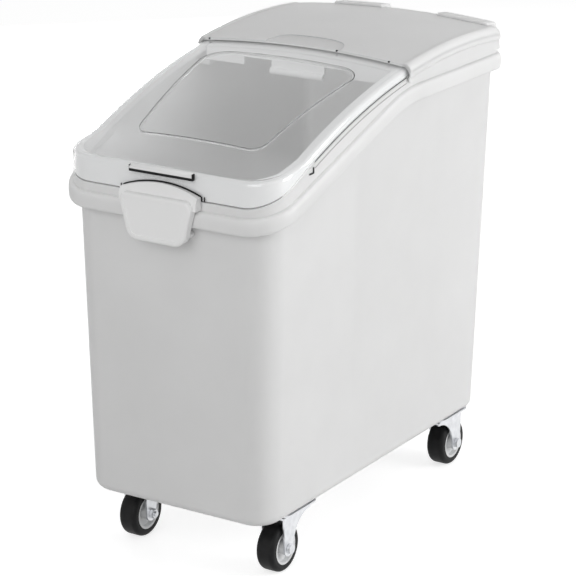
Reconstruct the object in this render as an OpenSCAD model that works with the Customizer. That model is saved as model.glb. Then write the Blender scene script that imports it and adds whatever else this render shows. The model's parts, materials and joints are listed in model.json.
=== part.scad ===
// Rolling flour bin: a tapered tub on four swivel casters, closed by a clear
// front lid that slides back along an arc under a hinged rear cover.
// Millimetres. Front is -Y, right is +X, up is +Z, origin on the ground below the middle.

/* [Tub] */
// Width of the tub floor
floor_w = 318; // [300:1:330]
// Length of the tub floor
floor_l = 618; // [580:1:640]
// Wall and floor thickness
wall = 4; // [3:0.5:5]
// Radius of the front upright corners at the floor
front_corner_r = 40; // [36:1:46]
// Radius of the rear upright corners at the floor
rear_corner_r = 20; // [18:1:24]
// Radius of the outer bottom edge
floor_edge_r = 15; // [10:1:20]

/* [Rim] */
// How far the upright lip stands out past the floor on each side
side_flare = 22; // [20:1:26]
// How far the lip stands out past the floor at the front
front_flare = 15; // [13:1:18]
// How far the lip stands out past the floor at the rear
rear_flare = 24; // [22:1:27]
// Height of the rolled rim's lower edge at the front
rim_front_z = 533; // [525:1:540]
// Rise of the rolled rim from the front to the rear
rim_rise = 120; // [112:1:126]
// Slope of the rim from the front up to the level rear part
rim_slope = 18.5; // [17.5:0.5:19.5]
// Height of the rolled rim
roll_h = 25; // [22:1:27]
// How far the rolled rim stands out from the lip
roll_out = 7.5; // [6:0.5:9]

/* [Lid arc] */
// Radius of the arc that the cover's side edge follows
arc_r = 1127; // [1115:1:1140]
// How far the arc's highest point lies in front of the lip's rear face
arc_back = 129; // [125:1:133]
// Height of the cover's side edge above the rolled rim at the arc's highest point
arc_rise = 44; // [43:0.5:46]
// How much higher the middle of lid and cover stands than their sides
crown = 10; // [8:1:12]
// Length of the cover
cover_l = 296; // [290:1:302]
// Radial depth of the lid's side from its edge to the slide rail
lid_side_h = 12; // [11:0.5:13]
// How far the lid's surface lies below the cover's
lid_drop = 4; // [4:0.5:4.5]
// Sheet thickness of lid and cover
sheet = 3; // [2.5:0.5:3]
// Length of the lid's front panel, from the lip's front face to the crease
front_panel_l = 87; // [82:1:92]
// Fall of the front panel from the crease to its front edge
front_panel_fall = 13.8; // [12:0.2:16]

/* [Casters] */
// Wheel diameter
wheel_d = 75; // [70:1:80]
// Tyre width
tyre_w = 30; // [26:1:31]
// Gap between the wheels and the tub's underside
caster_clear = 21; // [20:0.5:24]
// Sideways distance of the swivel axes from the floor's sides
caster_side = 36.5; // [35:0.5:40]
// Distance of the front swivel axes from the floor's front
caster_front = 109; // [100:1:118]
// Distance of the rear swivel axes from the floor's rear
caster_rear = 51; // [48:1:60]
// Offset of the axle from the swivel axis
trail = 22; // [20:1:24]

/* [Front handle] */
// Width of the handle's arched top
plate_w = 130; // [124:1:140]
// How far the handle reaches below the rolled rim's lower edge
plate_drop = 25; // [22:1:28]
// How far the handle's arched top stands above that edge
plate_rise = 59; // [55:1:62]
// How far the handle stands out from the rolled rim
plate_out = 14.5; // [13:0.5:17]

/* [Hidden] */

// Clearances and the overrun of cuts
gap = 0.3;
run_fit = 0.05;
overrun = 5;
$fn = 48;

// Tub: floor outline, lip outline and section
floor_shift = 1;
floor_front = floor_shift - floor_l / 2;
floor_rear = floor_shift + floor_l / 2;
floor_z = wheel_d + caster_clear;
floor_top = floor_z + wall;
inner_edge_r = 8;
corner_min_r = 4;
lip_hw = floor_w / 2 + side_flare;
lip_front = floor_front - front_flare;
lip_rear = floor_rear + rear_flare;
lip_round_shares = [1.3, 1.4];
lip_front_r = front_corner_r * lip_round_shares[0];
lip_rear_r = rear_corner_r * lip_round_shares[1];
wall_in = 7;
rim_tan = tan(rim_slope);
roll_front = lip_front - roll_out;
rim_rear_z = rim_front_z + rim_rise;
bend_y = roll_front + rim_rise / rim_tan;
bend_len = 45;
roll_top = rim_rear_z + roll_h;
wall_ref_z = roll_top - wall;
lug_l = 14;
lug_h = 7;
lug_w = 24;

// Arc that lid, cover and rails share
arc_y = lip_rear - arc_back;
arc_z = roll_top + arc_rise - arc_r;
joint_y = lip_rear - cover_l;
crease_y = lip_front + front_panel_l;
lid_r = arc_r - lid_drop;
rail_top_r = lid_r - lid_side_h;
rail_h = 3.2;
rail_w = 3.6;
rail_seat_r = rail_top_r - rail_h - gap;
rail_x = lip_hw - wall / 2;
rail_set = 8;
rail_front_y = crease_y + rail_set;
rail_rear_y = lip_rear - lip_rear_r;
step_len = 0.6;
lip_rear_h = 1;

// Lid
lid_overlap = 12;
lid_rear = joint_y + lid_overlap;
lid_edge_r = 8.5;
lid_floor_r = rail_top_r + 2 * gap;
lid_panel_front = lip_front + lid_edge_r;
lid_front_z = arc_at(lid_r, crease_y) - front_panel_fall;
panel_rib_w = 4;
panel_rib_h = 2.2;
panel_embed = 1.8;
panel_side = 65;
panel_hw = lip_hw - panel_side;
panel_lap = 6;
panel_front = crease_y - panel_lap;
panel_end = 42;
panel_rear = joint_y - panel_end;
panel_front_r = 22;
panel_rear_r = 36;
panel_taper_shares = [0.91, 1.17];
tab_w = 106;
tab_l = 6;
tab_h = 3;
tab_drop = 5;

// Seal inside the lid's skirt
seal_side = 17;
seal_front = 10;
seal_out = sheet + gap;
seal_low = lid_edge_r + gap;
seal_top = sheet + 3 * gap;

// Cover
cover_side_gap = 2.6;
cover_hw = lip_hw + lid_drop + cover_side_gap;
cover_rear_out = 2;
cover_rear = lip_rear + cover_rear_out;
cover_edge_r = 12;
cover_band_h = 4;
cover_set_in = 1.8;
cover_rear_r = lip_rear_r + cover_rear_out;
cover_lift = 7;
cover_low = roll_top + cover_lift;
foot_l = 30;
foot_w = 4;
scoop_w = 130;
scoop_l = 38;
scoop_d = 1.6;

// Rear hinge: leaves of the cover between lugs of the tub, on one pin
hinge_r = 5;
hinge_out = 6;
hinge_y = lip_rear + hinge_out;
hinge_lift = 2;
hinge_z = roll_top + hinge_r + hinge_lift;
pin_r = 2.5;
pin_head_r = 3.8;
pin_head_l = 2;
span_gap = 1.5;
leaf_gap = 2;
leaf_span_shares = [[-0.6, -0.12], [0.43, 0.92]];
lug_end_share = -0.91;
leaf_spans = leaf_span_shares * lip_hw;
lug_spans = [
    [lug_end_share * lip_hw, leaf_spans[0][0] - leaf_gap],
    [leaf_spans[0][1] + leaf_gap, leaf_spans[1][0] - leaf_gap]
];
leaf_t = 4;
leaf_rise = 4.5;
leaf_reach = 28;
leaf_round = 5;

// Cross bar below the lid's rear end, with the scoop rest at its middle
bar_t = 4;
bar_set = 9;
bar_y = joint_y - bar_set;
bar_lift = 1;
bar_low = roll_top + bar_lift;
bar_top_gap = 5;
bar_hw = lip_hw - seal_side - 3 * gap;
notch_in = 46;
notch_out = 95;
notch_h = 12;
rest_drop = 3;
rest_r = 5;
rest_bore_r = 2;

// Handle plate
plate_front = roll_front - plate_out;
plate_low_z = rim_front_z - plate_drop;
plate_top_z = rim_front_z + plate_rise;
arch_hw = plate_w / 2;
arch_t = 3.5;
arch_gap = 1.5;
arch_back = lip_front - arch_gap;
arch_sag = 12;
arch_low = rim_at(lip_front) + roll_h + arch_gap;
arch_foot = 6;
arch_dip = 4;
pull_low_hw = 51;
pull_low_r = 20;
pull_high_hw = 60.5;
pull_high_r = 12;
pull_edge_r = 5;
pull_top_gap = 16;
pull_top_z = plate_top_z - pull_top_gap;
pull_gap = 1.2;
pull_back = roll_front - pull_gap;
pull_depth = pull_back - plate_front;
pull_t = 3.5;
boss_r = 5.5;
boss_x = 40;
boss_rise = 14;
boss_z = plate_low_z + boss_rise;
cavity_side = 1;
cavity_hw = boss_x + boss_r + cavity_side;
wall_share = (boss_z - floor_z) / (wall_ref_z - floor_z);
handle_wall_y = floor_front + (wall_in - front_flare) * wall_share;
screw_r = 2.5;
screw_head_r = 5;
screw_head_h = 3;
screw_len = 22;
face_inset = 1;
face_margin = 8;
face_draft = 0.5;

// Casters
plate_l = 80;
plate_wid = 62;
plate_th = 2.5;
plate_corner_r = 8;
bolt_x = 18;
bolt_y = 31;
bolt_r = 3;
bolt_head_r = 5.4;
bolt_head_h = 3;
washer_r = 6.2;
washer_t = 1.2;
nut_r = 5.7;
nut_h = 3.8;
wheel_r = wheel_d / 2;
track = floor_w - 2 * caster_side;
front_caster_y = floor_front + caster_front;
rear_caster_y = floor_rear - caster_rear;
race_gap = 5.5;
plate_low = floor_z - plate_th;
fork_top = plate_low - race_gap;
fork_t = 2.5;
fork_bridge_t = 3;
fork_in_w = 36;
fork_hl = 36;
fork_foot_l = 34;
fork_eye_r = 12;
fork_bridge_r = 40;
fork_sweep_r = fork_hl + trail - fork_eye_r;
ball_r = 3.175;
groove_r = ball_r + gap / 2;
race_r = 16;
ball_count = 12;
kingpin_r = 5;
kingpin_head_r = 9;
kingpin_head_h = 3.5;
axle_r = 4;
axle_head_r = 7.5;
axle_head_h = 5;
axle_nut_h = 6.5;
axle_tail = 9;
sleeve_r = 6;
hub_r = 26;
hub_w = 29;
hub_rim_t = 3.5;
hub_web_w = 14;
hub_boss_r = 11;
side_gap = 0.5;
tyre_round = 7;

CASTERS = [
    ["fl", -1, front_caster_y, -1],
    ["fr", 1, front_caster_y, -1],
    ["rl", -1, rear_caster_y, 1],
    ["rr", 1, rear_caster_y, 1]
];

WHITE = [0.93, 0.93, 0.92];
CLEAR = [0.85, 0.87, 0.88, 0.45];
STEEL = [0.75, 0.76, 0.78];
DARK = [0.08, 0.08, 0.09];
GREY = [0.62, 0.63, 0.65];

// Curves of the bin

// Height of an arc of radius r at y
function arc_at(r, y) = arc_z + sqrt(r * r - (y - arc_y) * (y - arc_y));

// Angle on the arc, from upright towards the front, at y
function arc_angle(r, y) = asin((arc_y - y) / r);

// Rise of the crown at x
function crown_at(x) = crown * (1 - (x / lip_hw) * (x / lip_hw));

// Top of the cover and of the lid; in front of the crease the lid is a flat panel
function cover_top(x, y) = arc_at(arc_r + crown_at(x), y);
function lid_top(x, y) =
    y > crease_y ? arc_at(lid_r + crown_at(x), y)
    : let (z0 = arc_at(lid_r + crown_at(x), crease_y))
      z0 + (lid_front_z - z0) * (y - crease_y) / (lid_panel_front - crease_y);

// Lower edge of the rolled rim at y: a slope that bends into the level rear part
function rim_at(y) =
    y < bend_y - bend_len ? rim_rear_z - (bend_y - y) * rim_tan
    : y > bend_y + bend_len ? rim_rear_z
    : rim_rear_z - rim_tan * pow(bend_y + bend_len - y, 2) / (4 * bend_len);

// Top edge of the lip at y: lowered under the rail to seat it, low behind the rail's end, inside the cover
function lip_at(y) =
    y > rail_rear_y + step_len ? roll_top + wall + lip_rear_h
    : arc_at(y < rail_front_y ? rail_top_r : rail_seat_r, y);

// Outlines

// Closed outline of a rounded rectangle with points along its sides.
// Box is [half width, front, rear, front radius, rear radius].
function outline(box, shares) =
    let (hw = box[0], f = box[1], r = box[2], rf = box[3], rr = box[4],
         s0 = f + rf, s1 = r - rr,
         half = concat(
             [[0, f], [(hw - rf) / 2, f]],
             [for (a = [-90:15:0]) [hw - rf + rf * cos(a), s0 + rf * sin(a)]],
             [for (s = shares) [hw, s0 + (s1 - s0) * s]],
             [for (a = [0:22.5:90]) [hw - rr + rr * cos(a), s1 + rr * sin(a)]],
             [[0, r]]),
         n = len(half))
    concat(half, [for (i = [n - 2:-1:1]) [-half[i][0], half[i][1]]]);

function inset(box, d) = [
    box[0] - d, box[1] + d, box[2] - d,
    max(box[3] - d, corner_min_r), max(box[4] - d, corner_min_r)
];

// U-shaped outline, open at y0 and closed round the end y1, from the right arm to the left
function u_outline(hw, y0, y1, r, shares) =
    let (s = sign(y1 - y0), yr = y1 - s * r,
         half = concat(
             [for (t = shares) [hw, y0 + (yr - y0) * t]],
             [for (a = [0:18:90]) [hw - r + r * cos(a), yr + s * r * sin(a)]],
             [[(hw - r) / 2, y1], [0, y1]]),
         n = len(half))
    concat(half, [for (i = [n - 2:-1:0]) [-half[i][0], half[i][1]]]);

// Faces

function quad(a, b, c, d) = [[a, b, c], [a, c, d]];
function flipped(faces, flip) = flip ? [for (f = faces) [f[2], f[1], f[0]]] : faces;

// Triangles between closed rings of n points, numbered ring after ring
function tube_faces(rings, n) =
    [for (k = [0:rings - 2]) for (i = [0:n - 1])
        let (j = (i + 1) % n, a = k * n, b = a + n)
        each quad(a + i, b + i, b + j, a + j)];

// Skin of a shell given as rings from its low edge to its middle, bridged at the last ring
function skin_faces(start, rings, m) =
    let (last = start + (rings - 1) * m, mid = (m - 1) / 2)
    concat(
        [for (k = [0:rings - 2]) for (i = [0:m - 2])
            let (a = start + k * m + i, b = a + m)
            each quad(a, a + 1, b + 1, b)],
        [for (i = [0:mid - 2]) each quad(last + i, last + i + 1, last + m - 2 - i, last + m - 1 - i)],
        [[last + mid - 1, last + mid, last + mid + 1]]
    );

// A shell open at one end: outer and inner rings, equal in number
module open_shell(outer, inner, flip) {
    rings = len(outer);
    m = len(outer[0]);
    in0 = rings * m;
    top = (rings - 1) * m;
    faces = concat(
        skin_faces(0, rings, m),
        flipped(skin_faces(in0, rings, m), true),
        [for (i = [0:m - 2]) each quad(in0 + i, in0 + i + 1, i + 1, i)],
        [for (k = [0:rings - 2])
            let (a = k * m, b = a + m) each quad(a, b, in0 + b, in0 + a)],
        [for (k = [0:rings - 2])
            let (a = k * m + m - 1, b = a + m) each quad(b, a, in0 + a, in0 + b)],
        quad(top, top + m - 1, in0 + top + m - 1, in0 + top)
    );
    points = concat([for (r = outer) each r], [for (r = inner) each r]);
    polyhedron(points = points, faces = flipped(faces, flip));
}

// A strip of the lid arc between two radii, two x and two y
module arc_strip(r0, r1, x0, x1, y0, y1) {
    a0 = arc_angle(r1, y1);
    a1 = arc_angle(r1, y0);
    translate([0, arc_y, arc_z])
        rotate(180, [1, 0, 1])
            rotate([0, 0, a0])
                rotate_extrude(angle = a1 - a0, $fn = 360)
                    translate([r0, x0])
                        square([r1 - r0, x1 - x0]);
}

module along_x(x0, x1) {
    translate([x0, 0, 0]) rotate([90, 0, 90]) linear_extrude(x1 - x0) children();
}

module rod_x(x0, x1, y, z, r) {
    along_x(x0, x1) translate([y, z]) circle(r);
}

// Tub

lip_box = [lip_hw, lip_front, lip_rear, lip_front_r, lip_rear_r];
floor_box = [floor_w / 2, floor_front, floor_rear, front_corner_r, rear_corner_r];

// Shares of the side's straight run where the outline has a point
function lip_share(y) = (y - lip_front - lip_front_r) / (lip_rear - lip_rear_r - lip_front - lip_front_r);
side_shares = [
    lip_share(rail_front_y - step_len), lip_share(rail_front_y), 0.2, 0.3, 0.4,
    lip_share(bend_y - bend_len), lip_share(bend_y - bend_len / 2), lip_share(bend_y),
    lip_share(bend_y + bend_len / 2), lip_share(bend_y + bend_len), 0.75, 0.85, 0.93
];

lip_ring = outline(lip_box, side_shares);
ring_n = len(lip_ring);

// Wall outline inset by d: at the floor, at the reference height, and in between
function floor_ring(d) = outline(inset(floor_box, d), side_shares);
function wall_point(f, w, z) = [each (f + (w - f) * (z - floor_z) / (wall_ref_z - floor_z)), z];
function wall_ring(d, dz) =
    let (f = floor_ring(d), w = outline(inset(lip_box, d + wall_in), side_shares))
    [for (i = [0:ring_n - 1]) wall_point(f[i], w[i], rim_at(lip_ring[i][1]) + dz)];
function flat_ring(d, z) =
    let (f = floor_ring(d), w = outline(inset(lip_box, d + wall_in), side_shares))
    [for (i = [0:ring_n - 1]) wall_point(f[i], w[i], z)];

// Lip outline inset by d, at the rim's lower edge plus dz, and at the lip's top edge
function rim_ring(d, dz) =
    let (l = outline(inset(lip_box, d), side_shares))
    [for (i = [0:ring_n - 1]) [l[i][0], l[i][1], rim_at(lip_ring[i][1]) + dz]];
function lip_top_ring(d) =
    let (l = outline(inset(lip_box, d), side_shares))
    [for (i = [0:ring_n - 1]) [l[i][0], l[i][1], lip_at(lip_ring[i][1])]];

// Section of the rolled rim as shares of its reach and height, from the inside of the curl over the top
roll_shares = [
    [0.45, 0.8], [0.5, 0.03], [0.7, 0], [0.92, 0.08], [1, 0.28], [1, 0.62], [0.88, 0.82], [0.6, 0.95]
];

tub_rings = concat(
    [for (a = [0:22.5:90]) flat_ring(floor_edge_r * (1 - sin(a)), floor_z + floor_edge_r * (1 - cos(a)))],
    [wall_ring(0, roll_h / 2)],
    [rim_ring(wall_in / 2, roll_h - wall - gap)],
    [for (s = roll_shares) rim_ring(-roll_out * s[0], roll_h * s[1])],
    [rim_ring(0, roll_h)],
    [lip_top_ring(0)],
    [lip_top_ring(wall)],
    [rim_ring(wall, roll_h + wall)],
    [wall_ring(wall, roll_h / 2)],
    [for (a = [90:-22.5:0])
        flat_ring(wall + inner_edge_r * (1 - sin(a)), floor_top + inner_edge_r * (1 - cos(a)))]
);

// The floor's two faces start at a point inside a corner, so that no three points in a row are in line
module tub_shell() {
    rings = len(tub_rings);
    last = (rings - 1) * ring_n;
    corner = 5;
    polyhedron(
        points = [for (r = tub_rings) each r],
        faces = concat(
            tube_faces(rings, ring_n),
            [[for (i = [0:ring_n - 1]) (i + corner) % ring_n]],
            [[for (i = [ring_n:-1:1]) last + (i + corner) % ring_n]]
        )
    );
}

module caster_bolt_places() {
    for (c = CASTERS, i = [-1, 1], j = [-1, 1])
        translate([c[1] * track / 2 + i * bolt_x, c[2] + j * bolt_y, 0])
            children();
}

module handle_screw_places() {
    for (i = [-1, 1])
        translate([i * boss_x, 0, boss_z]) rotate([90, 0, 0]) children();
}

module tub() {
    color(WHITE) difference() {
        union() {
            tub_shell();
            for (i = [-1, 1])
                translate([i * (rail_x - lug_w / 2) - lug_w / 2, bar_y - lug_l / 2, bar_low - gap - lug_h])
                    cube([lug_w, lug_l, lug_h]);
            for (s = lug_spans)
                along_x(s[0], s[1])
                    union() {
                        translate([hinge_y, hinge_z]) circle(hinge_r);
                        translate([hinge_y - hinge_r, roll_top - wall])
                            square([2 * hinge_r - leaf_t / 2, hinge_z - roll_top + wall]);
                    }
        }
        rod_x(-lip_hw, lip_hw, hinge_y, hinge_z, pin_r + run_fit);
        caster_bolt_places()
            translate([0, 0, floor_z - overrun]) cylinder(h = wall + 2 * overrun, r = bolt_r + gap);
        handle_screw_places()
            translate([0, 0, -handle_wall_y - wall - overrun])
                cylinder(h = wall + 2 * overrun, r = screw_r + gap);
    }
}

// Slide rails and cross bar

module slide_rail(side) {
    x0 = side * rail_x - rail_w / 2;
    color(WHITE)
        arc_strip(rail_top_r - rail_h, rail_top_r, x0, x0 + rail_w, rail_front_y + 2 * step_len, rail_rear_y);
}

module slide_rail_left() slide_rail(-1);
module slide_rail_right() slide_rail(1);

bar_top_shares = [-1:0.125:1];
module cross_bar() {
    rest_y = bar_y - rest_r + bar_t / 2;
    notch_w = notch_out - notch_in;
    notch_mid = (notch_in + notch_out) / 2;
    color(WHITE) difference() {
        union() {
            translate([0, bar_y + bar_t / 2, 0]) rotate([90, 0, 0]) linear_extrude(bar_t)
                difference() {
                    polygon(concat(
                        [for (s = bar_top_shares)
                            [bar_hw * s, arc_at(lid_r - sheet - bar_top_gap + crown_at(bar_hw * s), bar_y)]],
                        [[bar_hw, bar_low], [notch_in, bar_low], [notch_in, bar_low - rest_drop],
                         [-notch_in, bar_low - rest_drop], [-notch_in, bar_low], [-bar_hw, bar_low]]
                    ));
                    for (i = [-1, 1])
                        translate([i * notch_mid - notch_w / 2, bar_low - overrun])
                            square([notch_w, notch_h + overrun]);
                }
            rod_x(-notch_in, notch_in, rest_y, bar_low - rest_drop, rest_r);
        }
        rod_x(-notch_in - overrun, notch_in + overrun, rest_y, bar_low - rest_drop, rest_bore_r);
    }
}

// Handle plate and its screws

// Corners of the pull's outline, each as x, z and radius
pull_corners = [for (i = [-1, 1]) each [
    [i * (pull_low_hw - pull_low_r), plate_low_z + pull_low_r, pull_low_r],
    [i * (pull_high_hw - pull_high_r), pull_top_z - pull_high_r, pull_high_r]
]];

// Disc with a rounded front edge, from the pull's back to its front
module pull_pad(r) {
    rotate_extrude($fn = 32) {
        square([r - pull_edge_r, pull_depth]);
        square([r, pull_depth - pull_edge_r]);
        intersection() {
            translate([r - pull_edge_r, pull_depth - pull_edge_r]) circle(pull_edge_r, $fn = 24);
            square([r, pull_depth]);
        }
    }
}

module pull_bosses(y) {
    handle_screw_places()
        translate([0, 0, -y]) cylinder(h = y - plate_front - pull_t / 2, r = boss_r);
}

module handle_plate() {
    arch_r = (arch_hw * arch_hw + arch_sag * arch_sag) / (2 * arch_sag);
    color(WHITE) difference() {
        union() {
            hull() for (c = pull_corners)
                translate([c[0], pull_back, c[1]]) rotate([90, 0, 0]) pull_pad(c[2]);
            intersection() {
                translate([0, arch_back, 0]) rotate([90, 0, 0]) linear_extrude(arch_back - plate_front)
                    intersection() {
                        translate([0, plate_top_z - arch_r]) circle(arch_r, $fn = 360);
                        translate([-arch_hw, arch_low]) square([2 * arch_hw, plate_top_z - arch_low]);
                    }
                along_x(-arch_hw, arch_hw) polygon([
                    [arch_back, arch_low], [arch_back, plate_top_z], [arch_back - arch_t, plate_top_z],
                    [pull_back - arch_foot, pull_top_z - arch_dip], [pull_back - arch_foot, arch_low]
                ]);
            }
            pull_bosses(handle_wall_y - gap);
        }
        difference() {
            translate([-cavity_hw, plate_front + pull_t, plate_low_z - overrun])
                cube([2 * cavity_hw, pull_depth, arch_low - gap - plate_low_z + overrun]);
            pull_bosses(handle_wall_y);
        }
        hull() for (c = pull_corners)
            translate([c[0], plate_front + face_inset, c[1]]) rotate([90, 0, 0])
                let (r = c[2] - face_margin)
                    cylinder(h = 2 * face_inset, r1 = r, r2 = r + 2 * face_draft, $fn = 32);
        handle_screw_places()
            translate([0, 0, -handle_wall_y - overrun])
                cylinder(h = screw_len + overrun, r = screw_r + run_fit);
    }
}

module handle_screws() {
    color(STEEL) handle_screw_places() {
        translate([0, 0, -handle_wall_y - wall - gap]) cylinder(h = screw_len, r = screw_r);
        translate([0, 0, -handle_wall_y - wall - gap - screw_head_h])
            cylinder(h = screw_head_h, r = screw_head_r);
    }
}

// Rear cover and its hinge pin

cover_shares = [0:0.125:0.9];
function cover_ring(d) =
    u_outline(cover_hw - d, joint_y, cover_rear - d, max(cover_rear_r - d, corner_min_r), cover_shares);
function cover_at(d, drop) = [for (p = cover_ring(d)) [p[0], p[1], cover_top(p[0], p[1]) - drop]];

// Insets of the top's rings as shares of the half width
cover_ring_shares = [0.25, 0.5, 0.7, 0.86];
function cover_skin(t) = concat(
    [[for (p = cover_ring(cover_set_in / 2 + t)) [p[0], p[1], cover_low]]],
    [cover_at(cover_set_in + t, cover_edge_r + cover_band_h + cover_set_in)],
    [cover_at(t, cover_edge_r + cover_band_h)],
    [for (a = [0:22.5:90])
        let (r = cover_edge_r - t) cover_at(t + r * (1 - cos(a)), t + r * (1 - sin(a)))],
    [for (s = cover_ring_shares) cover_at(cover_hw * s, t)]
);

// Finger recess in the cover's front edge, following its top
scoop_ring_shares = [1, 0.9, 0.5, 0.05];
module cover_scoop() {
    pts = [for (a = [0:9:180]) [scoop_w / 2 * cos(a), joint_y - overrun + (scoop_l + overrun) * sin(a)]];
    n = len(pts);
    function ring(s, drop) = [for (p = pts)
        let (x = p[0] * s, y = joint_y - overrun + (p[1] - joint_y + overrun) * s)
        [x, y, cover_top(x, y) - drop]];
    rings = concat([ring(scoop_ring_shares[0], -overrun), ring(scoop_ring_shares[0], scoop_d / 2)],
                   [for (k = [1:3]) ring(scoop_ring_shares[k], scoop_d)]);
    last = (len(rings) - 1) * n;
    polyhedron(
        points = [for (r = rings) each r],
        faces = concat(
            flipped(tube_faces(len(rings), n), true),
            [[for (i = [n - 1:-1:0]) i]],
            [[for (i = [0:n - 1]) last + i]]
        )
    );
}

// Hinge leaf: a raised strap over the cover's rear edge, down to its knuckle
leaf_step_shares = [0:0.25:1];
leaf_ends = [[0, 1, 2, 9], [9, 2, 3], [9, 3, 4, 8], [8, 4, 5], [8, 5, 6, 7]];
module cover_leaf(span) {
    yf = cover_rear - leaf_reach;
    yr = cover_rear + leaf_t;
    function profile(x) = [
        [x, yf, cover_top(x, yf) - sheet / 2],
        [x, yf, cover_top(x, yf) + leaf_rise / 2],
        [x, yf + leaf_round / 2, cover_top(x, yf) + leaf_rise],
        [x, yr - leaf_round, cover_top(x, cover_rear) + leaf_rise - leaf_round / 2],
        [x, yr - leaf_round / 3, cover_top(x, cover_rear) - leaf_round / 2],
        [x, yr, cover_top(x, cover_rear) - 2 * leaf_round],
        [x, yr, hinge_z],
        [x, cover_rear - sheet / 2, hinge_z],
        [x, cover_rear - sheet / 2, cover_top(x, cover_rear) - cover_edge_r],
        [x, cover_rear - cover_edge_r, cover_top(x, cover_rear - cover_edge_r) - sheet / 2]
    ];
    sections = [for (s = leaf_step_shares) profile(span[0] + (span[1] - span[0]) * s)];
    n = len(sections[0]);
    last = (len(sections) - 1) * n;
    polyhedron(
        points = [for (r = sections) each r],
        faces = concat(
            flipped(tube_faces(len(sections), n), true),
            [for (f = leaf_ends) [for (i = [len(f) - 1:-1:0]) f[i]]],
            [for (f = leaf_ends) [for (i = f) last + i]]
        )
    );
    rod_x(span[0], span[1], hinge_y, hinge_z, hinge_r);
}

module rear_cover() {
    lug_top = hinge_z + hinge_r + span_gap - cover_low;
    foot_x = cover_hw - cover_set_in - sheet / 2;
    color(WHITE) difference() {
        union() {
            difference() {
                open_shell(cover_skin(0), cover_skin(sheet), true);
                for (s = lug_spans)
                    translate([s[0] - span_gap, lip_rear - overrun, cover_low - overrun])
                        cube([s[1] - s[0] + 2 * span_gap, 3 * overrun, lug_top + overrun]);
                cover_scoop();
            }
            for (s = leaf_spans) cover_leaf(s);
            for (i = [-1, 1])
                translate([i * foot_x - foot_w / 2, joint_y + foot_l, roll_top + gap])
                    cube([foot_w, foot_l, cover_low - roll_top + sheet]);
        }
        rod_x(-lip_hw, lip_hw, hinge_y, hinge_z, pin_r + run_fit);
    }
}

module cover_hinge_pin() {
    x0 = lug_spans[0][0] - gap;
    x1 = leaf_spans[1][1] + gap;
    color(STEEL) {
        rod_x(x0, x1, hinge_y, hinge_z, pin_r);
        rod_x(x0 - pin_head_l, x0, hinge_y, hinge_z, pin_head_r);
        rod_x(x1, x1 + pin_head_l, hinge_y, hinge_z, pin_head_r);
    }
}

// Front lid

lid_run = lid_rear - lip_front - lip_front_r;
lid_shares = [each [0:0.125:0.8], (lid_rear - crease_y) / lid_run];
function lid_ring(d) =
    u_outline(lip_hw - d, lid_rear, lip_front + d, max(lip_front_r - d, corner_min_r), lid_shares);
function lid_at(d, drop) = [for (p = lid_ring(d)) [p[0], p[1], lid_top(p[0], p[1]) - drop]];

// Insets of the top's rings; one lies on the crease
lid_ring_shares = [0.22, (crease_y - lip_front) / lip_hw, 0.66, 0.85];
function lid_skin(t) = concat(
    [[for (p = lid_ring(t)) [p[0], p[1], arc_at(lid_floor_r, p[1])]]],
    [for (a = [0:22.5:90]) lid_at(t + (lid_edge_r - t) * (1 - cos(a)), t + (lid_edge_r - t) * (1 - sin(a)))],
    [for (s = lid_ring_shares) lid_at(lip_hw * s, t)]
);

// Stiffening rib on the lid's underside, round its middle panel
panel_box = [panel_hw, panel_front, panel_rear, panel_front_r, panel_rear_r];
panel_side_shares = [0.2, 0.4, 0.6, 0.8];
function panel_taper(y) =
    let (s = (y - panel_front) / (panel_rear - panel_front))
    panel_taper_shares[0] + (panel_taper_shares[1] - panel_taper_shares[0]) * s;
function panel_ring(d, drop) = [for (p = outline(inset(panel_box, d), panel_side_shares))
    let (x = p[0] * panel_taper(p[1])) [x, p[1], lid_top(x, p[1]) - drop]];

module panel_rib() {
    rings = [
        panel_ring(0, sheet - panel_embed), panel_ring(panel_rib_w, sheet - panel_embed),
        panel_ring(panel_rib_w, sheet + panel_rib_h), panel_ring(0, sheet + panel_rib_h)
    ];
    n = len(rings[0]);
    all = 4 * n;
    polyhedron(
        points = [for (r = rings) each r],
        faces = [for (k = [0:3]) for (i = [0:n - 1])
            let (j = (i + 1) % n, a = k * n, b = (a + n) % all)
            each quad(a + i, b + i, b + j, a + j)]
    );
}

module front_lid() {
    color(CLEAR) {
        open_shell(lid_skin(0), lid_skin(sheet), false);
        panel_rib();
        translate([-tab_w / 2, lip_front - tab_l, lid_front_z - tab_drop - tab_h])
            cube([tab_w, tab_l + sheet / 2, tab_h]);
    }
}

// White seal strip inside the lid's skirt, from one rear end round the front to the other
seal_caps = [[0, 1, 2], [0, 2, 3], [0, 3, 4]];
module lid_seal() {
    inner = u_outline(
        lip_hw - seal_side, lid_rear, lip_front + seal_front, lip_front_r - seal_front, lid_shares
    );
    lines = [
        [for (p = inner) [p[0], p[1], arc_at(lid_floor_r, p[1])]],
        [for (p = lid_ring(seal_out)) [p[0], p[1], arc_at(lid_floor_r, p[1])]],
        lid_at(seal_out, seal_low),
        lid_at(seal_low, seal_top),
        [for (p = inner) [p[0], p[1], lid_top(p[0], p[1]) - seal_top]]
    ];
    n = len(lines[0]);
    sections = [for (i = [0:n - 1]) each [for (l = lines) l[i]]];
    last = (n - 1) * len(lines);
    color(WHITE) polyhedron(
        points = sections,
        faces = concat(
            tube_faces(n, len(lines)),
            [for (f = seal_caps) f],
            [for (f = seal_caps) [last + f[2], last + f[1], last + f[0]]]
        )
    );
}

// Casters, drawn about their swivel axis with the axle towards +Y

module at_caster(code) {
    for (c = CASTERS)
        if (c[0] == code)
            translate([c[1] * track / 2, c[2], 0]) rotate([0, 0, c[3] > 0 ? 0 : 180]) children();
}

// Turns a part so that its +X side is the outer side of the bin
module outer_side(code) {
    for (c = CASTERS)
        if (c[0] == code)
            mirror([c[1] * c[3] > 0 ? 0 : 1, 0, 0]) children();
}

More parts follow.
